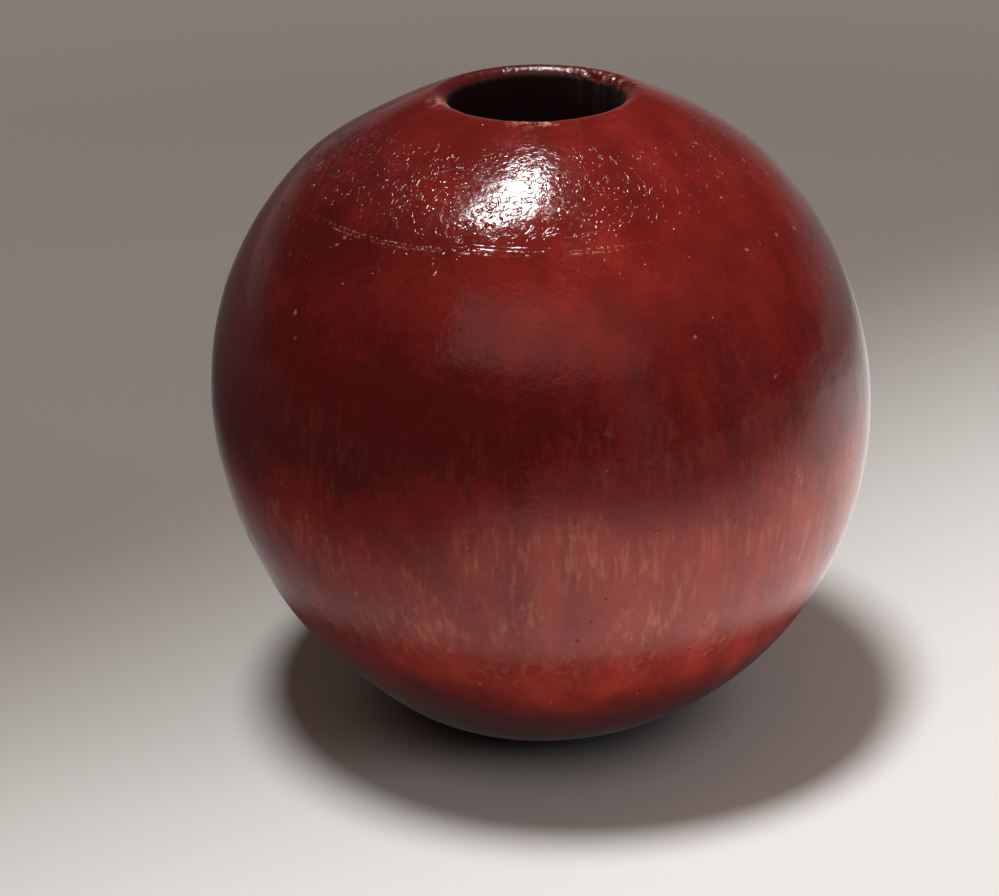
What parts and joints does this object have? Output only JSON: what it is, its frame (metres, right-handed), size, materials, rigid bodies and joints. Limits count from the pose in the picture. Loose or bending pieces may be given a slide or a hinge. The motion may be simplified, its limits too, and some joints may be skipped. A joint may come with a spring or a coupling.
{
  "type": "wooden bead",
  "caption": "Round turned wooden bead, stained red and varnished, with a straight hole drilled right through for a cord.",
  "frame": {"origin": "middle of the ball, on the axis of the hole", "axes": "+Z along the hole; X and Y across the belly, with no preferred direction"},
  "size_m": [0.03, 0.03, 0.0296],
  "materials": {
    "bead": "red stain under glossy varnish"
  },
  "bodies": {
    "root": {"bead": "bead"}
  },
  "joints": []
}
